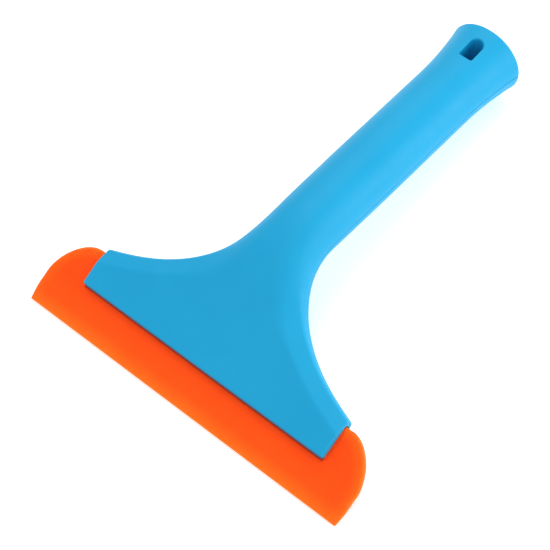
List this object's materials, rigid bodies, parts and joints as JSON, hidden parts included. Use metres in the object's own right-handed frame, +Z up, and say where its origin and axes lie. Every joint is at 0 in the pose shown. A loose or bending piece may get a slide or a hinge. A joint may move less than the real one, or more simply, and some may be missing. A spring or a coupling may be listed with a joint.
{
  "type": "aquarium algae scraper",
  "caption": "Hand scraper: a flexible orange blade clamped in the flared head of a two-shell blue plastic handle, bent back at the neck, with a hang hole in the end.",
  "frame": {"origin": "on the floor under the middle of the tool's bounding box, with the tool lying on its back on its scraping edge and the flared end of its handle", "axes": "+X along the blade, +Y from the scraping edge to the end of the handle, +Z up, out of the front of the tool"},
  "size_m": [0.151, 0.189, 0.0393],
  "materials": {
    "shell_plastic": "semi-matte moulded",
    "blade_rubber": "satin silicone",
    "screw_steel": "zinc plated"
  },
  "bodies": {
    "handle": {"front_shell": "shell_plastic", "rear_shell": "shell_plastic", "blade_root": "blade_rubber", "screw_head_left": "screw_steel", "screw_head_right": "screw_steel", "screw_neck": "screw_steel", "screw_grip_lower": "screw_steel", "screw_grip_upper": "screw_steel"},
    "blade": {"blade_lip": "blade_rubber"}
  },
  "joints": [
    {"name": "blade_flex", "type": "hinge", "parent": "handle", "child": "blade", "pos_m": [0, -0.08179, 0.00559], "axis": [1, 0, 0], "range_deg": [-30, 30], "stiffness_Nm_per_rad": 0.3}
  ]
}
